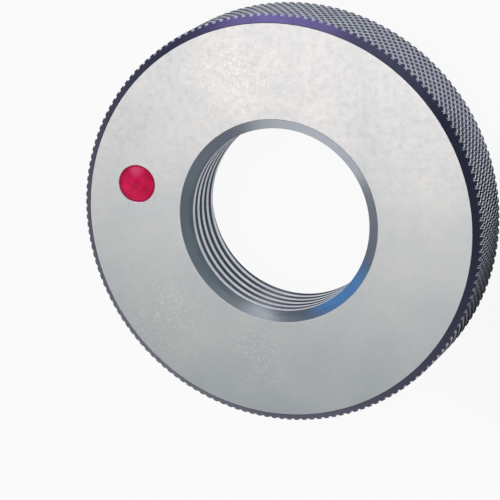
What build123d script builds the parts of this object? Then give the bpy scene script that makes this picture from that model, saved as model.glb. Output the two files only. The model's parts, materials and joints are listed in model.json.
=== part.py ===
from build123d import *

import os
from math import cos, pi, radians, sin, sqrt, tan

# NO-GO thread ring gauge for a right-hand metric fine thread, M30 x 2: a turned and hardened steel ring
# with a diamond-knurled rim, a threaded bore and a red lacquer mark in a shallow recess of one face.
# Millimetres and degrees. The origin is the centre of the back face, and +Z runs along the ring's axis
# towards the marked face.

# Ring blank
ring_diameter = 63.0        # over the points of the knurl
ring_width = 12.0           # between the two lapped faces
rim_chamfer_height = 1.2    # of the chamfers beside the knurl, across the radius
rim_chamfer_width = 1.2     # and along the axis

# Knurl: two crossing sets of V grooves leave raised diamonds
knurl_pitch = 1.22          # round the rim, from one diamond to the next
knurl_angle = 32.0          # between each set of grooves and the ring's axis
knurl_depth = 0.35          # from the diamonds' points to the groove bottoms
knurl_step = 0.02           # from the groove bottoms down to the turned rim under them

# Thread
thread_diameter = 30.0      # nominal
thread_pitch = 2.0
thread_angle = 60.0         # between the two flanks, which meet in a sharp root
no_go_allowance = 0.21      # how far the pitch diameter lies below the basic one
crest_height = 0.1          # how far the cut-back crests stand inside the pitch line

# Countersunk mouth at both ends of the bore
mouth_margin = 0.7          # across the radius, beyond the nominal thread
mouth_depth = 0.85          # from the face to the first full crest

# Red mark
mark_diameter = 5.8
mark_direction = 164.9      # seen from the front, counterclockwise from +X
recess_depth = 0.6
recess_edge_break = 0.1     # 45 degree chamfer round the recess
pip_diameter = 0.9          # drill-point pip in the recess floor
pip_depth = 0.25
lacquer_drop = 0.12         # from the face down to the lacquer where it meets the wall
lacquer_rim_width = 0.45    # of the curved rim where the lacquer climbs the wall
lacquer_sag = 0.12          # from the top of that rim down to the flat
lacquer_dish = 0.06         # further fall from the rim to the edge of the dimple
dimple_diameter = 1.1       # in the lacquer, over the pip
dimple_depth = 0.14

cut_overrun = 1.0           # how far cutting bodies run past the faces they open

ring_radius = ring_diameter / 2
face_radius = ring_radius - rim_chamfer_height
mouth_radius = thread_diameter / 2 + mouth_margin
basic_pitch_diameter = thread_diameter - 3 * sqrt(3) / 8 * thread_pitch
pitch_radius = (basic_pitch_diameter - no_go_allowance) / 2
crest_radius = pitch_radius - crest_height
flank_slope = tan(radians(thread_angle / 2))
knurl_teeth = round(pi * ring_diameter / knurl_pitch)
half_tooth = pi / knurl_teeth
groove_radius = ring_radius - knurl_depth
turned_radius = groove_radius - knurl_step
knurl_start = rim_chamfer_width * (turned_radius - face_radius) / rim_chamfer_height
knurl_end_taper = rim_chamfer_width * knurl_depth / rim_chamfer_height
diamonds_start = knurl_start + knurl_end_taper
diamonds_length = ring_width - 2 * diamonds_start
knurl_rows = round(diamonds_length * tan(radians(knurl_angle)) / (half_tooth * ring_radius))


def turned(*points):
    """A body of revolution about Z from the corners (radius, height) of its half section."""
    return revolve(Plane.XZ * make_face(Polyline(*points, close=True)), Axis.Z)


def blank():
    """The disc as turned, before it is knurled and bored."""
    return turned(
        (0, 0),
        (face_radius, 0),
        (turned_radius, knurl_start),
        (turned_radius, ring_width - knurl_start),
        (face_radius, ring_width),
        (0, ring_width),
    )


def thread_groove():
    """The helical groove between the crests, from below one face to above the other."""
    inner_radius = crest_radius - crest_height
    inner_half = thread_pitch / 4 + (pitch_radius - inner_radius) * flank_slope
    root_radius = pitch_radius + thread_pitch / 4 / flank_slope
    start = -thread_pitch
    helix = Helix(thread_pitch, ring_width + 2 * thread_pitch, crest_radius).locate(Pos(0, 0, start))
    section = Polyline(
        (inner_radius, start - inner_half),
        (inner_radius, start + inner_half),
        (root_radius, start),
        close=True,
    )
    return sweep(Plane.XZ * make_face(section), path=helix, is_frenet=True)


def mouth_cone(face_height, inward):
    """The countersink at one face. Inward is 1 where the bore runs up from it, and -1 where down."""
    slope = (mouth_radius - crest_radius) / mouth_depth
    outer_height = face_height - inward * cut_overrun
    inner_height = face_height + inward * (mouth_depth + cut_overrun)
    return turned(
        (0, outer_height),
        (mouth_radius + slope * cut_overrun, outer_height),
        (crest_radius - slope * cut_overrun, inner_height),
        (0, inner_height),
    )


def threaded_plug():
    """Everything that the bore takes out of the blank."""
    length = ring_width + 6 * thread_pitch
    core = Pos(0, 0, ring_width / 2) * Cylinder(crest_radius, length)
    return core + thread_groove() + mouth_cone(0, 1) + mouth_cone(ring_width, -1)


def rim_corner(radius, step, height):
    angle = step * half_tooth
    return Vector(radius * cos(angle), radius * sin(angle), height)


def knurl_corner(row, step):
    """A corner of the knurl's net: a diamond's point where row + step is odd, or else a groove crossing."""
    radius = ring_radius if (row + step) % 2 else groove_radius
    return rim_corner(radius, step, diamonds_start + row * diamonds_length / knurl_rows)


def facet(*corners):
    return Face(Wire.make_polygon(corners))


def diamond_facets(row, step):
    """The facets that fall from a diamond's point, beside the groove crossings above and below it."""
    point = knurl_corner(row, step)
    left = knurl_corner(row, step - 1)
    right = knurl_corner(row, step + 1)
    facets = []
    for next_row in (row - 1, row + 1):
        if 0 <= next_row <= knurl_rows:
            crossing = knurl_corner(next_row, step)
            facets += [facet(point, left, crossing), facet(point, crossing, right)]
    return facets


def end_facets(row, step, end):
    """The facets from a point of an end row to the end of the knurl, in line with the chamfer there."""
    point = knurl_corner(row, step)
    left = knurl_corner(row, step - 1)
    right = knurl_corner(row, step + 1)
    foot_left = rim_corner(groove_radius, step - 1, end)
    foot_right = rim_corner(groove_radius, step + 1, end)
    return [
        facet(point, foot_left, foot_right),
        facet(point, left, foot_left),
        facet(point, foot_right, right),
    ]


def knurl_shoulder(steps, height):
    """The narrow flat ring at one end of the knurl, between its groove bottoms and the turned rim."""
    outside = Wire.make_polygon([rim_corner(groove_radius, step + 1, height) for step in steps])
    inside = Wire.make_circle(turned_radius, Plane.XY.offset(height))
    return Face(outside, [inside])


def knurl_faces():
    """The knurl's surface: flat facets, from the shoulder where one chamfer ends to the one at the other."""
    points = [
        (row, step)
        for row in range(knurl_rows + 1)
        for step in range(2 * knurl_teeth)
        if (row + step) % 2
    ]
    faces = []
    for row, step in points:
        faces += diamond_facets(row, step)
    for row, end in ((0, knurl_start), (knurl_rows, ring_width - knurl_start)):
        end_steps = [step for end_row, step in points if end_row == row]
        for step in end_steps:
            faces += end_facets(row, step, end)
        faces.append(knurl_shoulder(end_steps, end))
    return faces


def at_mark(body):
    """A body modelled round the origin, with the marked face at height 0, moved into the face's band."""
    distance = (mouth_radius + face_radius) / 2
    direction = radians(mark_direction)
    return Pos(distance * cos(direction), distance * sin(direction), ring_width) * body


def mark_recess():
    radius = mark_diameter / 2
    return turned(
        (0, cut_overrun),
        (radius + recess_edge_break + cut_overrun, cut_overrun),
        (radius, -recess_edge_break),
        (radius, -recess_depth),
        (pip_diameter / 2, -recess_depth),
        (0, -recess_depth - pip_depth),
    )


def lacquer_fill():
    """The lacquer in the recess: it climbs the wall in a curved rim and sinks to a dimple over the pip."""
    radius = mark_diameter / 2
    rim_foot = (radius - lacquer_rim_width, -lacquer_drop - lacquer_sag)
    dimple_edge = (dimple_diameter / 2, rim_foot[1] - lacquer_dish)
    wall_top = (radius, -lacquer_drop)
    rim = TangentArc(rim_foot, wall_top, tangent=(1, 0))
    outline = [
        rim,
        Line(wall_top, (radius, -recess_depth)),
        Line((radius, -recess_depth), (pip_diameter / 2, -recess_depth)),
        Line((pip_diameter / 2, -recess_depth), (0, -recess_depth - pip_depth)),
        Line((0, -recess_depth - pip_depth), (0, dimple_edge[1] - dimple_depth)),
        Line((0, dimple_edge[1] - dimple_depth), dimple_edge),
        Line(dimple_edge, rim_foot),
    ]
    return revolve(Plane.XZ * make_face(outline), Axis.Z)


def gauge_ring():
    """The bored blank with the plain turned rim taken off and the knurl's faces sewn on in its place."""
    bored = blank() - threaded_plug() - at_mark(mark_recess())
    walls = bored.faces().sort_by(lambda face: face.radius if face.geom_type == GeomType.CYLINDER else 0)
    return Solid(Shell([*walls[:-1], *knurl_faces()]))


os.makedirs("parts", exist_ok=True)
export_step(gauge_ring(), "parts/gauge_ring.step")
export_step(at_mark(lacquer_fill()), "parts/red_mark.step")
print("crest radius", round(crest_radius, 4), "diamonds round the rim", knurl_teeth)
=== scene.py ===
import json
from math import cos, floor, hypot, pi, radians, sin, tan

import bmesh
import bpy
from mathutils import Matrix, Vector
from mathutils.geometry import delaunay_2d_cdt


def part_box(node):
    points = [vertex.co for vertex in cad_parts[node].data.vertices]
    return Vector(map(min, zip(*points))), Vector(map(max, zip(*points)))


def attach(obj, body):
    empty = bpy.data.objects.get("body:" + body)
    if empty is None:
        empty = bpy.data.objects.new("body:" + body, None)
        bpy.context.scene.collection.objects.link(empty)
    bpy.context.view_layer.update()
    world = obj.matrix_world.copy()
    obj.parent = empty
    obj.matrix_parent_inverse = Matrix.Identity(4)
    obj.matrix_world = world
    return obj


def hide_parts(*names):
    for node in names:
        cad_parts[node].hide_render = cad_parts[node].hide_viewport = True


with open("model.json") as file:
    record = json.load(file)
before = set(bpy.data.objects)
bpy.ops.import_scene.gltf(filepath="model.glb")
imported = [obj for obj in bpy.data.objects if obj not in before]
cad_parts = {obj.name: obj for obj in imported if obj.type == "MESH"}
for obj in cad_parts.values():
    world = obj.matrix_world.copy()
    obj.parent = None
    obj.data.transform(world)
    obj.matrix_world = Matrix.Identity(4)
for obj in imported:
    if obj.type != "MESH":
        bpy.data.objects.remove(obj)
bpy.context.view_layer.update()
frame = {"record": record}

# A NO-GO thread ring gauge, M30 x 2: a hardened steel ring with a diamond-knurled rim, a threaded bore with
# a countersunk mouth at each end, and a red lacquer mark in a recess of one face. Its pieces are modelled in
# millimetres, as on a drawing, and scaled to metres when their meshes are made.
MM = 0.001

# Sizes that the frame gives
ring_low, ring_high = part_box("gauge_ring")
mark_low, mark_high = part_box("red_mark")
thread_mount = next(m for m in frame["record"]["mounts"] if m["name"] == "thread")
ring_radius = (ring_high.x - ring_low.x) / 2 / MM
ring_width = (ring_high.z - ring_low.z) / MM
crest_radius = thread_mount["dims"]["r_mm"]
mouth_depth = (ring_width - thread_mount["dims"]["length_mm"]) / 2
mark_radius = (mark_high.x - mark_low.x) / 2 / MM
mark_centre = ((mark_low.x + mark_high.x) / 2 / MM, (mark_low.y + mark_high.y) / 2 / MM)
mark_top = mark_high.z / MM

# Sizes of the ring's features, in millimetres and degrees
rim_chamfer_height = 1.2    # across the radius
rim_chamfer_width = 1.2     # along the axis
edge_break = 0.06           # how far the small breaks beside the rim's chamfers reach into the faces
edge_break_slope = 2.2      # of those breaks: radius over height
mouth_radius = 15.7         # where the countersinks open into the faces
mouth_edge_break = 0.03     # how far the small breaks beside them reach into the faces
mouth_break_slope = 4.0     # of those breaks: radius over height
recess_depth = 0.6
recess_edge_break = 0.06
knurl_teeth = 162           # diamonds round the rim
knurl_rows = 10             # half diamonds across its width
knurl_depth = 0.35          # from the diamonds' flats to the groove bottoms
knurl_step = 0.02           # from the groove bottoms down to the turned rim under them
knurl_wear = 0.012          # how far a worn diamond may stand below its neighbours
thread_pitch = 2.0
thread_angle = 60.0
crest_height = 0.1          # how far the crests stand inside the pitch line

# Where the lines of the knurl's mesh run, from one groove at 0 to the next at 1, and how high the metal
# stands there, from 0 at the groove bottoms to 1 at the flats
KNURL_PROFILE = ((0.0, 0.0), (0.20, 0.86), (0.25, 1.0), (0.75, 1.0), (0.80, 0.86))

# The thread's rounded corners. The root's points are (height from its middle, distance inside the sharp
# root), and the crest's are (height past its sharp edge, distance outside the crest).
ROOT_ROUND = ((0.0, 0.07), (0.055, 0.11))
CREST_ROUND = ((-0.005, 0.022), (0.03, 0.005), (0.07, 0.0))
crest_round_start = 0.06    # outside the crest, where the flank goes over into the rounding

# Sizes of the lacquer, in millimetres
lacquer_rim_width = 0.45    # of the curved rim against the wall
lacquer_sag = 0.12          # from the top of that rim down to its foot
lacquer_rim_power = 0.8     # 1 makes the rim a quarter ellipse, and less makes it fall sooner
lacquer_dish = 0.06         # from the rim's foot down to the edge of the dimple
dimple_radius = 0.55
dimple_depth = 0.14

# Fineness of the meshes
bore_columns = 240
mark_segments = 96
lacquer_steps = 8
dimple_steps = 6
same_place = 5e-4           # corners nearer than this are merged
on_face = 1e-5              # edges nearer to a flat face than this bound it

face_radius = ring_radius - rim_chamfer_height
groove_radius = ring_radius - knurl_depth
rim_slope = rim_chamfer_height / rim_chamfer_width
diamonds_start = (groove_radius - knurl_step - face_radius + knurl_depth) / rim_slope
row_height = (ring_width - 2 * diamonds_start) / knurl_rows
mouth_slope = (mouth_radius - crest_radius) / mouth_depth


# ---- Meshes -----------------------------------------------------------------------------------------------
# The rim and the bore are each a height field: a radius over angle and height. Each is laid out flat as
# (angle, height, radius), where a cone is a plane, so a chamfer is one straight cut.


def jitter(a, b):
    """A repeatable number from 0 to 1 for a pair of whole numbers, with no pattern from pair to pair."""
    value = sin(a * 127.1 + b * 311.7) * 43758.5453
    return value - floor(value)


def cut_flat(flat, point, normal, drop_outside=False):
    """Cuts a flat layout along a plane, and drops what lies on the normal's side if asked."""
    geometry = flat.verts[:] + flat.edges[:] + flat.faces[:]
    bmesh.ops.bisect_plane(
        flat, geom=geometry, dist=1e-7, plane_co=point, plane_no=normal, clear_outer=drop_outside
    )


def trim_flat(flat, one_turn):
    """Trims a flat layout to one turn, in its units of angle, and to the ring's width."""
    cut_flat(flat, (0, 0, 0), (-1, 0, 0), True)
    cut_flat(flat, (one_turn, 0, 0), (1, 0, 0), True)
    cut_flat(flat, (0, 0, 0), (0, -1, 0), True)
    cut_flat(flat, (0, ring_width, 0), (0, 1, 0), True)


def limit_radius(flat, radius, height, slope, outside):
    """Cuts a flat layout where it passes a cone, and lays what passes it onto the cone.

    The cone has that radius at that height and grows by slope with height. Outside is 1 where the metal
    lies inside the cone, as at the rim, and -1 where it lies outside, as in the bore.
    """
    cut_flat(flat, (0, height, radius), (0, -slope, 1))
    for vertex in flat.verts:
        allowed = radius + slope * (vertex.co.y - height)
        if (vertex.co.z - allowed) * outside > 0:
            vertex.co.z = allowed


def knurl_line(index):
    """The place of one of the knurl's lines, which groove it belongs to and its height."""
    groove, step = divmod(index, len(KNURL_PROFILE))
    across, height = KNURL_PROFILE[step]
    return groove + across, groove, height


def rim_layout():
    """The knurled rim between the two faces, laid out flat. One unit of angle is half a diamond's pitch.

    The left-hand grooves run where u is whole and the right-hand ones where v is whole.
    """
    flat = bmesh.new()
    overrun = 0.2               # rows past the two faces
    spare_grooves = 3           # past those that cross the rim's width
    low_row = -diamonds_start / row_height - overrun
    high_row = (ring_width - diamonds_start) / row_height + overrun
    made = {}

    def corner(i, j):
        if (i, j) not in made:
            u, left_groove, left_height = knurl_line(i)
            v, right_groove, right_height = knurl_line(j)
            height = min(left_height, right_height)
            wear = knurl_wear * jitter(left_groove % knurl_teeth, left_groove - right_groove) * height
            radius = groove_radius + knurl_depth * height - wear
            made[(i, j)] = flat.verts.new((u + v, diamonds_start + (u - v) * row_height, radius))
        return made[(i, j)]

    steps = len(KNURL_PROFILE)
    for i in range(-steps * knurl_rows, steps * (knurl_teeth + knurl_rows)):
        groove = i // steps
        first_groove = groove - knurl_rows - spare_grooves
        end_groove = groove + 1 + spare_grooves
        for j in range(steps * first_groove, steps * end_groove):
            u0, u1 = knurl_line(i)[0], knurl_line(i + 1)[0]
            v0, v1 = knurl_line(j)[0], knurl_line(j + 1)[0]
            in_width = u1 - v0 > low_row and u0 - v1 < high_row
            in_turn = u1 + v1 > 0 and u0 + v0 < 2 * knurl_teeth
            if in_width and in_turn:
                places = ((i, j), (i + 1, j), (i + 1, j + 1), (i, j + 1))
                add_bent_quad(flat, [corner(*place) for place in places])
    return flat


def add_bent_quad(flat, corners):
    """Adds a quad, or two triangles that share its highest corner where it isn't flat."""
    radii = [c.co.z for c in corners]
    flat_enough = 1e-3
    if abs(radii[0] - radii[1] + radii[2] - radii[3]) < flat_enough:
        flat.faces.new(corners)
        return
    top = radii.index(max(radii))
    a, b, c, d = (corners[(top + k) % 4] for k in range(4))
    flat.faces.new((a, b, c))
    flat.faces.new((a, c, d))


def knurled_rim():
    """The rim with its chamfers and edge breaks, laid out flat."""
    flat = rim_layout()
    trim_flat(flat, 2 * knurl_teeth)
    for height, up in ((0, 1), (ring_width, -1)):
        limit_radius(flat, face_radius, height, up * rim_slope, 1)
        limit_radius(flat, face_radius - edge_break, height, up * edge_break_slope, 1)
    return flat


def thread_points():
    """The thread's section over one pitch from groove to groove, as (height, radius)."""
    flank_slope = tan(radians(thread_angle / 2))
    pitch_radius = crest_radius + crest_height
    sharp_root = pitch_radius + thread_pitch / 4 / flank_slope
    crest_edge = thread_pitch / 4 + crest_height * flank_slope
    root = [(height, sharp_root - drop) for height, drop in ROOT_ROUND]
    flank_end = (crest_edge - crest_round_start * flank_slope, crest_radius + crest_round_start)
    crest = [(crest_edge + past, crest_radius + rise) for past, rise in CREST_ROUND]
    half = [*root, flank_end, *crest]
    return half + [(thread_pitch - height, radius) for height, radius in reversed(half[1:])]


def threaded_bore():
    """The thread with its two mouths, laid out flat. It rises by one pitch over the turn."""
    flat = bmesh.new()
    points = thread_points()
    turns = range(-2, int(ring_width / thread_pitch) + 2)
    section = [(turn * thread_pitch + height, radius) for turn in turns for height, radius in points]
    columns = []
    for column in range(bore_columns + 1):
        rise = thread_pitch * column / bore_columns
        columns.append([flat.verts.new((column, height + rise, radius)) for height, radius in section])
    for left, right in zip(columns, columns[1:]):
        for k in range(len(section) - 1):
            flat.faces.new((left[k], left[k + 1], right[k + 1], right[k]))
    trim_flat(flat, bore_columns)
    for height, up in ((0, 1), (ring_width, -1)):
        limit_radius(flat, mouth_radius, height, -up * mouth_slope, -1)
        limit_radius(flat, mouth_radius + mouth_edge_break, height, -up * mouth_break_slope, -1)
    return flat


def roll_up(target, flat, one_turn):
    """Adds a flat layout to a mesh, rolled round the Z axis, and frees the layout."""
    placed = {}
    for vertex in flat.verts:
        angle = 2 * pi * vertex.co.x / one_turn
        radius = vertex.co.z
        placed[vertex] = target.verts.new((radius * cos(angle), radius * sin(angle), vertex.co.y))
    for face in flat.faces:
        target.faces.new([placed[v] for v in face.verts])
    flat.free()


def add_circles(target, centre, section, segments):
    """Adds a surface of revolution about a vertical axis from a section of (radius, height) points."""
    rings = []
    for radius, height in section:
        if radius == 0:
            rings.append([target.verts.new((centre[0], centre[1], height))])
            continue
        angles = [2 * pi * k / segments for k in range(segments)]
        rings.append(
            [
                target.verts.new((centre[0] + radius * cos(a), centre[1] + radius * sin(a), height))
                for a in angles
            ]
        )
    for low, high in zip(rings, rings[1:]):
        for k in range(segments):
            n = (k + 1) % segments
            corners = [low[k % len(low)], low[n % len(low)], high[n % len(high)], high[k % len(high)]]
            target.faces.new(list(dict.fromkeys(corners)))


def in_circle(place, circle):
    """Whether a place lies in a circle, given as (x, y, radius), or just outside it."""
    margin = 0.2
    x, y, radius = circle
    return hypot(place.x - x, place.y - y) < radius + margin


def close_face(target, height, holes):
    """Fills the flat face at a height up to the open edges that lie on it.

    Each hole is the (x, y, radius) of a circle that stays open, so triangles between its own corners go.
    """
    rim = [
        edge
        for edge in target.edges
        if edge.is_boundary and all(abs(v.co.z - height) < on_face for v in edge.verts)
    ]
    corners = list(dict.fromkeys(v for edge in rim for v in edge.verts))
    place = {v: k for k, v in enumerate(corners)}
    flat = [v.co.xy for v in corners]
    edges = [(place[e.verts[0]], place[e.verts[1]]) for e in rim]
    only_enclosed = 1           # the kind of result: triangles inside the edges
    tolerance = 1e-6
    _, _, faces, sources, _, _ = delaunay_2d_cdt(flat, edges, [], only_enclosed, tolerance)
    for face in faces:
        points = [corners[sources[k][0]] for k in face]
        in_holes = [all(in_circle(point.co, hole) for point in points) for hole in holes]
        if not any(in_holes):
            target.faces.new(points)


def ring_mesh():
    """The whole ring as one closed mesh."""
    body = bmesh.new()
    roll_up(body, knurled_rim(), 2 * knurl_teeth)
    roll_up(body, threaded_bore(), bore_columns)
    recess = [
        (mark_radius + recess_edge_break, ring_width),
        (mark_radius, ring_width - recess_edge_break),
        (mark_radius, ring_width - recess_depth),
        (0, ring_width - recess_depth),
    ]
    add_circles(body, mark_centre, recess, mark_segments)
    bmesh.ops.remove_doubles(body, verts=body.verts[:], dist=same_place)
    mouth = (0, 0, mouth_radius)
    close_face(body, 0, [mouth])
    close_face(body, ring_width, [mouth, (*mark_centre, mark_radius)])
    bmesh.ops.recalc_face_normals(body, faces=body.faces[:])
    return body


def finish_mesh(name, body, materials, choose, sharp_from, flat_zones=()):
    """Makes an object in metres. Choose gives each face its place in the list of materials.

    Edges are shaded sharp from an angle on, and all those of the flat zones.
    """
    for face in body.faces:
        face.material_index = choose(face)
    bmesh.ops.scale(body, vec=(MM, MM, MM), verts=body.verts[:])
    mesh = bpy.data.meshes.new(name)
    body.to_mesh(mesh)
    body.free()
    mesh.set_sharp_from_angle(angle=radians(sharp_from))
    for polygon in mesh.polygons:
        polygon.use_smooth = polygon.material_index not in flat_zones
    for material in materials:
        mesh.materials.append(material)
    piece = bpy.data.objects.new(name, mesh)
    bpy.context.scene.collection.objects.link(piece)
    return piece


# The ring's finishes, by their place in its list of materials
LAPPED, CHAMFER, GROOVE, TOP, MOUTH, CREST, FLANK = range(7)

# What tells them apart, in millimetres
zone_margin = 0.5           # round the mouth and round the recess, with nothing else in it
cone_slack = 0.01           # a face whose centre lies this far off a cone still counts as on it
chamfer_only = 0.3          # nearer to a face than this the rim is all chamfer
top_band = 0.04             # the diamonds' flats lie within this of the ring's radius
crest_band = 0.02           # and the thread's crests within this of theirs

# And the size of the normal's part along the axis, from 0 to 1
flat_level = 0.999          # above this on the flat faces
mouth_level = 0.6           # above this on the countersinks


def ring_zone(face):
    """Which finish of the ring a face has."""
    centre = face.calc_center_median()
    radius = hypot(centre.x, centre.y)
    from_face = min(centre.z, ring_width - centre.z)
    level = abs(face.normal.z)
    if level > flat_level:
        return LAPPED
    if radius > mouth_radius + zone_margin:
        if hypot(centre.x - mark_centre[0], centre.y - mark_centre[1]) < mark_radius + zone_margin:
            return LAPPED
        if radius > face_radius + rim_slope * from_face - cone_slack or from_face < chamfer_only:
            return CHAMFER
        return TOP if radius > ring_radius - top_band else GROOVE
    on_cone = radius > mouth_radius - mouth_slope * from_face - cone_slack
    if on_cone and from_face < mouth_depth and level > mouth_level:
        return MOUTH
    return CREST if radius < crest_radius + crest_band else FLANK


def lacquer_mesh():
    """The lacquer: a curved rim against the wall, a shallow dish and a dimple in the middle."""
    body = bmesh.new()
    floor_height = ring_width - recess_depth
    section = [(0, floor_height), (mark_radius, floor_height), (mark_radius, mark_top)]
    for k in range(1, lacquer_steps + 1):
        turn = pi / 2 * k / lacquer_steps
        fall = lacquer_sag * (1 - cos(turn)) ** lacquer_rim_power
        section.append((mark_radius - lacquer_rim_width * sin(turn), mark_top - fall))
    foot_radius, foot_height = section[-1]
    for k in range(1, lacquer_steps + 1):
        share = k / lacquer_steps
        radius = foot_radius + (dimple_radius - foot_radius) * share
        section.append((radius, foot_height - lacquer_dish * share))
    edge_radius, edge_height = section[-1]
    for k in range(1, dimple_steps + 1):
        share = k / dimple_steps
        smooth_share = share * share * (3 - 2 * share)
        section.append((edge_radius * (1 - share), edge_height - dimple_depth * smooth_share))
    add_circles(body, mark_centre, section, mark_segments)
    bmesh.ops.recalc_face_normals(body, faces=body.faces[:])
    return body


# ---- Materials --------------------------------------------------------------------------------------------

# Painted shade down the bore: the flanks darken from the first height below to the second
FLANK_PALE_FROM = 10.9      # mm up the bore: the thread's flanks are as pale as the mouth above this
FLANK_DARK_FROM = 7.8       # and as dark as they get below this
SPECKLED = (((-5, 22), 9), ((-19, -15), 10), ((-5, -20.5), 8))   # patches of pale specks: centre, reach

BLACK = (0, 0, 0)
WHITE = (1, 1, 1)


def set_stops(node, stops):
    """Gives a colour ramp its stops, each (place, colour)."""
    elements = node.color_ramp.elements
    while len(elements) < len(stops):
        elements.new(0.5)
    for element, (place, colour) in zip(elements, stops):
        element.position = place
        element.color = (*colour, 1.0)


class Nodes:
    """A material's node tree, with short ways to add what the materials here share.

    An input of a node is given as a plain value or as the output of another node.
    """

    def __init__(self, name):
        self.material = bpy.data.materials.new(name)
        self.material.use_nodes = True
        self.tree = self.material.node_tree
        self.shader = self.tree.nodes["Principled BSDF"]
        self.place = self.add("ShaderNodeTexCoord").outputs["Object"]

    def add(self, kind, **settings):
        node = self.tree.nodes.new(kind)
        for key, value in settings.items():
            setattr(node, key, value)
        return node

    def give(self, target, value):
        if isinstance(value, bpy.types.NodeSocket):
            self.tree.links.new(value, target)
        else:
            target.default_value = value

    def math(self, operation, a, b):
        node = self.add("ShaderNodeMath", operation=operation)
        self.give(node.inputs[0], a)
        self.give(node.inputs[1], b)
        return node.outputs[0]

    def from_place(self, operation, vector):
        """A number from each place and a fixed vector in metres, such as the distance between them."""
        node = self.add("ShaderNodeVectorMath", operation=operation)
        self.give(node.inputs[0], self.place)
        self.give(node.inputs[1], vector)
        return node.outputs["Value"]

    def stretched(self, x, y, z):
        """The object's own coordinates, in metres, scaled by these factors."""
        mapping = self.add("ShaderNodeMapping")
        self.give(mapping.inputs["Scale"], (x, y, z))
        self.give(mapping.inputs["Vector"], self.place)
        return mapping.outputs["Vector"]

    def spot(self, centre, height, inner, outer):
        """1 within the inner radius about a place in millimetres, falling to 0 at the outer one."""
        away = self.from_place("DISTANCE", Vector((*centre, height)) * MM)
        return self.range(away, 1.0, 0.0, (inner * MM, outer * MM))

    def noise(self, scale, detail=4.0, roughness=0.55, vector=None):
        """Noise from 0 to 1. Scale is about the number of grains in a metre."""
        node = self.add("ShaderNodeTexNoise")
        self.give(node.inputs["Scale"], scale)
        self.give(node.inputs["Detail"], detail)
        self.give(node.inputs["Roughness"], roughness)
        self.give(node.inputs["Vector"], vector or self.place)
        return node.outputs["Fac"]

    def ramp(self, factor, *stops):
        """Colours by a factor. Each stop is (place, colour)."""
        node = self.add("ShaderNodeValToRGB")
        set_stops(node, stops)
        self.give(node.inputs["Fac"], factor)
        return node.outputs["Color"]

    def range(self, factor, low, high, source=(0.0, 1.0), interpolation="LINEAR"):
        """From low to high, as the factor goes from the one end of its source range to the other."""
        node = self.add("ShaderNodeMapRange", interpolation_type=interpolation)
        self.give(node.inputs["From Min"], source[0])
        self.give(node.inputs["From Max"], source[1])
        self.give(node.inputs["To Min"], low)
        self.give(node.inputs["To Max"], high)
        self.give(node.inputs["Value"], factor)
        return node.outputs["Result"]

    def mix(self, factor, a, b):
        """Two colours mixed by a factor: the first at 0 and the second at 1."""
        node = self.add("ShaderNodeMix", data_type="RGBA")
        self.give(node.inputs[0], factor)
        for socket, colour in ((node.inputs[6], a), (node.inputs[7], b)):
            self.give(socket, (*colour, 1.0) if isinstance(colour, tuple) else colour)
        return node.outputs[2]

    def bump(self, height, distance, strength):
        node = self.add("ShaderNodeBump")
        self.give(node.inputs["Distance"], distance)
        self.give(node.inputs["Strength"], strength)
        self.give(node.inputs["Height"], height)
        return node.outputs["Normal"]

    def finish(self, colour, roughness, normal=None, metallic=1.0):
        """Completes the material, which is bare metal unless it is told otherwise."""
        self.give(self.shader.inputs["Metallic"], metallic)
        self.give(self.shader.inputs["Base Color"], colour)
        self.give(self.shader.inputs["Roughness"], roughness)
        if normal is not None:
            self.give(self.shader.inputs["Normal"], normal)
        return self.material


def lapped_steel():
    """The two faces: lapped to an even grey, clouded, with a fine grain and patches of pale specks."""
    n = Nodes("lapped_steel")
    clouds = n.noise(scale=90, detail=5, roughness=0.6)
    grain = n.noise(scale=2600, detail=3, roughness=0.7)
    specks = n.noise(scale=1100, detail=6, roughness=0.8)
    tone = n.ramp(clouds, (0.3, (0.51, 0.52, 0.525)), (0.7, (0.60, 0.59, 0.57)))
    dark_specks = n.range(specks, low=0.0, high=0.35, source=(0.5, 0.8))
    tone = n.mix(dark_specks, tone, (0.40, 0.42, 0.43))
    pale_specks = n.ramp(n.noise(scale=3200, detail=3, roughness=0.6), (0.50, BLACK), (0.66, WHITE))
    for centre, reach in SPECKLED:
        patch = n.spot(centre, ring_width, inner=0.2 * reach, outer=reach)
        tone = n.mix(n.mix(patch, BLACK, pale_specks), tone, (0.72, 0.69, 0.62))
    rough = n.range(specks, low=0.28, high=0.38, source=(0.3, 0.7))
    return n.finish(tone, rough, n.bump(grain, distance=0.01 * MM, strength=0.25))


def chamfer_painted_shade_sheen():
    """The turned chamfers beside the knurl: a dark tone that is painted shade, varying at random from violet
    to navy, which is painted reflection.
    """
    n = Nodes("chamfer_painted_shade_sheen")
    tint = n.noise(scale=45, detail=3, roughness=0.5)
    # Painted shade and painted reflection: a dark steel tone tinted violet to navy
    tone = n.ramp(tint, (0.35, (0.050, 0.052, 0.084)), (0.7, (0.082, 0.077, 0.118)))
    rough = n.range(n.noise(scale=700), low=0.28, high=0.42)
    turning = n.noise(scale=1.0, detail=2, roughness=0.5, vector=n.stretched(300, 300, 9000))
    return n.finish(tone, rough, n.bump(turning, distance=0.01 * MM, strength=0.2))


def knurl_flank_painted_lit():
    """The flanks of the knurl: bright, the painted lit copy of the knurled steel."""
    n = Nodes("knurl_flank_painted_lit")
    # Painted light: the flanks are made pale, as if lit
    tone = n.ramp(n.noise(scale=400), (0.3, (0.58, 0.61, 0.68)), (0.7, (0.76, 0.78, 0.84)))
    rough = n.range(n.noise(scale=1500, detail=3), low=0.25, high=0.4)
    return n.finish(tone, rough)


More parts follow.
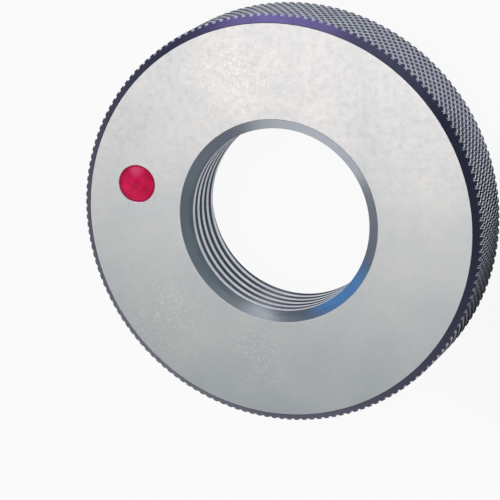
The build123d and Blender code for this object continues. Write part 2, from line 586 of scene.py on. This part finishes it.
def knurl_flat_painted_shade():
    """The small flats on the diamonds: near black, the painted shaded copy of the knurled steel, darker
    still than the chamfers.
    """
    n = Nodes("knurl_flat_painted_shade")
    # Painted shade: the flats are made near black, as if in shade
    tone = n.ramp(n.noise(scale=300, detail=3), (0.3, (0.006, 0.008, 0.016)), (0.7, (0.014, 0.016, 0.030)))
    rough = n.range(n.noise(scale=1500, detail=3), low=0.2, high=0.35)
    return n.finish(tone, rough)


def mouth_steel():
    """The countersinks: a smooth turned grey."""
    n = Nodes("mouth_steel")
    tone = n.ramp(n.noise(scale=120, detail=3), (0.3, (0.27, 0.285, 0.31)), (0.7, (0.32, 0.33, 0.35)))
    rough = n.range(n.noise(scale=900), low=0.20, high=0.28)
    turning = n.noise(scale=1.0, detail=2, roughness=0.5, vector=n.stretched(200, 200, 4000))
    return n.finish(tone, rough, n.bump(turning, distance=0.01 * MM, strength=0.05))


def crest_steel():
    """The thread's ground crests: bright."""
    n = Nodes("crest_steel")
    tone = n.ramp(n.noise(scale=300, detail=3), (0.3, (0.64, 0.66, 0.71)), (0.7, (0.82, 0.84, 0.88)))
    rough = n.range(n.noise(scale=1200, detail=3), low=0.2, high=0.32)
    return n.finish(tone, rough)


def flank_steel():
    """The thread's flanks and roots: as pale as the mouth at the marked face, with painted shade that
    darkens them further down.
    """
    n = Nodes("flank_steel")
    tone = n.ramp(n.noise(scale=300, detail=3), (0.3, (0.27, 0.28, 0.31)), (0.7, (0.32, 0.33, 0.35)))
    parts = n.add("ShaderNodeSeparateXYZ")
    n.give(parts.inputs[0], n.place)
    # Painted shade: the flanks darken towards the middle of the bore
    darkening = (FLANK_DARK_FROM * MM, FLANK_PALE_FROM * MM)
    painted_bore_shade = n.range(parts.outputs["Z"], low=1.0, high=0.0, source=darkening)
    tone = n.mix(painted_bore_shade, tone, (0.14, 0.15, 0.18))
    rough = n.range(n.noise(scale=1200, detail=3), low=0.22, high=0.30)
    return n.finish(tone, rough)


def red_lacquer():
    """Crimson lacquer, dabbed on unevenly, with a painted highlight near one side and painted shade against
    its wall.
    """
    n = Nodes("red_lacquer")
    dabs = n.noise(scale=520, roughness=0.6)
    tone = n.ramp(dabs, (0.3, (0.56, 0.0, 0.032)), (0.7, (0.95, 0.008, 0.110)))
    # Painted highlight: a paler spot near the mark's edge on its +Y side
    highlight_place = (mark_centre[0], mark_centre[1] + 0.75 * mark_radius)
    painted_highlight = n.spot(highlight_place, ring_width, inner=0.2, outer=0.5 * mark_radius)
    tone = n.mix(painted_highlight, tone, (0.96, 0.085, 0.20))
    # Painted shade: a darker ring against the recess wall
    clear_of_wall_shade = n.spot(mark_centre, ring_width, inner=0.86 * mark_radius, outer=0.98 * mark_radius)
    tone = n.mix(clear_of_wall_shade, (0.40, 0.0, 0.050), tone)
    rough = n.range(n.noise(scale=1500, detail=3), low=0.22, high=0.36)
    uneven = n.bump(n.noise(scale=500, detail=3), distance=0.1 * MM, strength=0.5)
    n.give(n.shader.inputs["Specular IOR Level"], 0.12)
    return n.finish(tone, rough, uneven, metallic=0.0)


# ---- The object -------------------------------------------------------------------------------------------


def build_ring():
    materials = [
        lapped_steel(),
        chamfer_painted_shade_sheen(),
        knurl_flank_painted_lit(),
        knurl_flat_painted_shade(),
        mouth_steel(),
        crest_steel(),
        flank_steel(),
    ]
    flat = (LAPPED, GROOVE, TOP)
    ring = finish_mesh("ring_finished", ring_mesh(), materials, ring_zone, sharp_from=10, flat_zones=flat)
    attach(ring, "root")
    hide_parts("gauge_ring")


def build_mark():
    mark = finish_mesh("mark_lacquer", lacquer_mesh(), [red_lacquer()], lambda face: 0, sharp_from=40)
    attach(mark, "root")
    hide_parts("red_mark")


# ---- Camera, floor and light ------------------------------------------------------------------------------
# All in metres here, about the ring where it lies on the floor.

SENSOR = 36.0               # mm across the square picture
LENS = 232.5                # mm
CAMERA_PLACE = (0.1609, 0.1083, 0.4567)
CAMERA_RIGHT = (0.94051, -0.08357, -0.32932)    # the directions that are right and up in the picture
CAMERA_UP = (0.00011, 0.96935, -0.24570)

FLOOR_SIZE = 6.0
FLOOR_TONE = 0.55           # how pale the floor is to the light that falls on it
WHITE_TO_CAMERA = 0.93      # and how much plain white covers it where the camera sees it
# A painted shadow on the floor beside the ring:
SHADE_CENTRE = (0.042, -0.015, 0)       # beside the ring, on the side away from the key light
SHADE_REACH = (0.017, 0.030)            # where the shade there starts to fade and where it ends
DEEPEST_SHADE = 0.05        # the share of the floor's light that is left in it

# How white the floor is to gloss, a painted fall of light: the share at each distance towards the front of
# the picture
FLOOR_FRONT = (-0.40, -0.92, 0)
FLOOR_SHINE = ((-0.030, 0.26), (0.002, 0.42), (0.012, 0.60), (0.030, 0.45), (0.050, 1.0))

# The studio's walls and ceiling: the colour at each height of a direction, from 0 level to 1 straight up
SKY_STRENGTH = 0.45
SKY = (
    (0.0, (1.10, 1.15, 1.25)),
    (0.28, (0.75, 0.81, 0.92)),
    (0.45, (0.40, 0.46, 0.57)),
    (0.80, (0.74, 0.92, 1.0)),
)

# The key light hangs above the ring, most of it over the side with the mark, and looks straight down
KEY_PLACE = (-0.062, 0.038, 0.30)
KEY_RADIANCE = 1.76
KEY_SIZE = (0.215, 0.22)
KEY_COLOUR = (1, 0.90, 0.87)
KEY_TURN = -5               # degrees

# The other lamps look at the middle of the ring. Each has its name, its direction and distance from the
# origin, its radiance, its width and height, and its colour.
LAMPS = (
    ("back_softbox", (-0.09, 0.66, 0.75), 0.5, 1.3, (0.14, 0.14), WHITE),
    ("back_strip", (-0.19, 0.95, 0.16), 0.5, 4.6, (0.40, 0.16), (0.66, 0.54, 1.0)),
    ("rim_strip", (0.52, 0.85, 0.09), 0.5, 5.0, (0.30, 0.08), (0.90, 1.0, 0.98)),
    ("side_softbox", (-0.52, -0.82, 0.27), 0.55, 1.2, (0.62, 0.20), WHITE),
    ("left_card", (-0.93, -0.20, 0.25), 0.5, 0.2, (0.26, 0.15), WHITE),
    ("front_card", (0.30, -0.78, 0.55), 0.5, 0.18, (0.42, 0.22), (0.88, 0.86, 1.0)),
    ("blue_card", (-0.80, 0.36, 0.46), 0.42, 1.4, (0.24, 0.18), (0.0, 0.27, 0.74)),
)


def add_camera():
    camera = bpy.data.objects.new("camera", bpy.data.cameras.new("camera"))
    camera.data.lens = LENS
    camera.data.sensor_width = SENSOR
    camera.data.clip_start = 0.01
    right, up = Vector(CAMERA_RIGHT), Vector(CAMERA_UP)
    turn = Matrix((right, up, right.cross(up))).transposed()
    camera.matrix_world = Matrix.Translation(CAMERA_PLACE) @ turn.to_4x4()
    bpy.context.scene.collection.objects.link(camera)
    bpy.context.scene.camera = camera


def painted_floor_shadow(n):
    """A factor by place: a painted shadow, low on the side away from the key light."""
    return n.range(n.from_place("DISTANCE", SHADE_CENTRE), DEEPEST_SHADE, 1.0, SHADE_REACH, "SMOOTHSTEP")


def painted_floor_shine(n):
    """How white the floor looks in gloss: painted light that varies by place, from behind the ring to well
    in front of it.
    """
    start, end = FLOOR_SHINE[0][0], FLOOR_SHINE[-1][0]
    depth = n.range(n.from_place("DOT_PRODUCT", FLOOR_FRONT), low=0.0, high=1.0, source=(start, end))
    stops = [((distance - start) / (end - start), (share, share, share)) for distance, share in FLOOR_SHINE]
    return n.ramp(depth, *stops)


def shown_white(n, surface, gloss_share):
    """Mixes a surface with plain white light: most where the camera sees it, less in gloss and glass."""
    path = n.add("ShaderNodeLightPath").outputs
    white_share = n.math("MULTIPLY", path["Is Camera Ray"], WHITE_TO_CAMERA)
    for name in ("Is Glossy Ray", "Is Transmission Ray"):
        white_share = n.math("MAXIMUM", white_share, n.math("MULTIPLY", path[name], gloss_share))
    white = n.add("ShaderNodeEmission").outputs[0]
    blend = n.add("ShaderNodeMixShader")
    for socket, value in zip(blend.inputs, (white_share, surface, white)):
        n.give(socket, value)
    return blend.outputs[0]


def floor_white():
    """The floor's paper: a pale tone to the light on it, darkened by a painted shadow beside the ring, and
    near white to the camera and to gloss.
    """
    n = Nodes("floor_white")
    shade = painted_floor_shadow(n)
    gloss_share = n.math("MULTIPLY", painted_floor_shine(n), shade)
    n.give(n.shader.inputs["Roughness"], 0.9)
    n.give(n.shader.inputs["Base Color"], n.math("MULTIPLY", shade, FLOOR_TONE))
    shown = shown_white(n, n.shader.outputs[0], gloss_share)
    n.give(n.tree.nodes["Material Output"].inputs["Surface"], shown)
    return n.material


def add_floor():
    body = bmesh.new()
    bmesh.ops.create_grid(body, x_segments=1, y_segments=1, size=FLOOR_SIZE / 2)
    mesh = bpy.data.meshes.new("floor")
    body.to_mesh(mesh)
    body.free()
    mesh.materials.append(floor_white())
    plane = bpy.data.objects.new("floor", mesh)
    bpy.context.scene.collection.objects.link(plane)


def add_lamp(name, place, aim, radiance, size, colour):
    """A soft rectangular lamp, as bright as its radiance to look at. Overhead its width lies along X."""
    width, height = size
    lamp = bpy.data.lights.new(name, "AREA")
    lamp.shape = "RECTANGLE"
    lamp.size = width
    lamp.size_y = height
    lamp.energy = radiance * pi * width * height
    lamp.color = colour
    holder = bpy.data.objects.new(name, lamp)
    holder.location = place
    direction = Vector(aim) - Vector(place)
    straight_down = 1e-6
    if direction.xy.length > straight_down:
        holder.rotation_euler = direction.to_track_quat("-Z", "Y").to_euler()
    bpy.context.scene.collection.objects.link(holder)
    return holder


def add_sky():
    """Walls that are pale near the floor and dimmer and bluer further up, under a pale ceiling."""
    world = bpy.data.worlds.new("studio")
    bpy.context.scene.world = world
    world.use_nodes = True
    tree = world.node_tree
    direction = tree.nodes.new("ShaderNodeTexCoord")
    parts = tree.nodes.new("ShaderNodeSeparateXYZ")
    tree.links.new(direction.outputs["Generated"], parts.inputs[0])
    ramp = tree.nodes.new("ShaderNodeValToRGB")
    set_stops(ramp, SKY)
    tree.links.new(parts.outputs["Z"], ramp.inputs["Fac"])
    sky = tree.nodes["Background"]
    tree.links.new(ramp.outputs["Color"], sky.inputs["Color"])
    sky.inputs["Strength"].default_value = SKY_STRENGTH


def add_light():
    add_sky()
    under_key = (*KEY_PLACE[:2], 0)
    key = add_lamp("key_softbox", KEY_PLACE, under_key, KEY_RADIANCE, KEY_SIZE, KEY_COLOUR)
    key.rotation_euler.z = radians(KEY_TURN)
    ring_middle = (0, 0, ring_width / 2 * MM)
    for name, direction, distance, radiance, size, colour in LAMPS:
        place = Vector(direction).normalized() * distance
        add_lamp(name, place, ring_middle, radiance, size, colour)


build_ring()
build_mark()
add_camera()
add_floor()
add_light()
bpy.context.scene.view_settings.view_transform = "Standard"
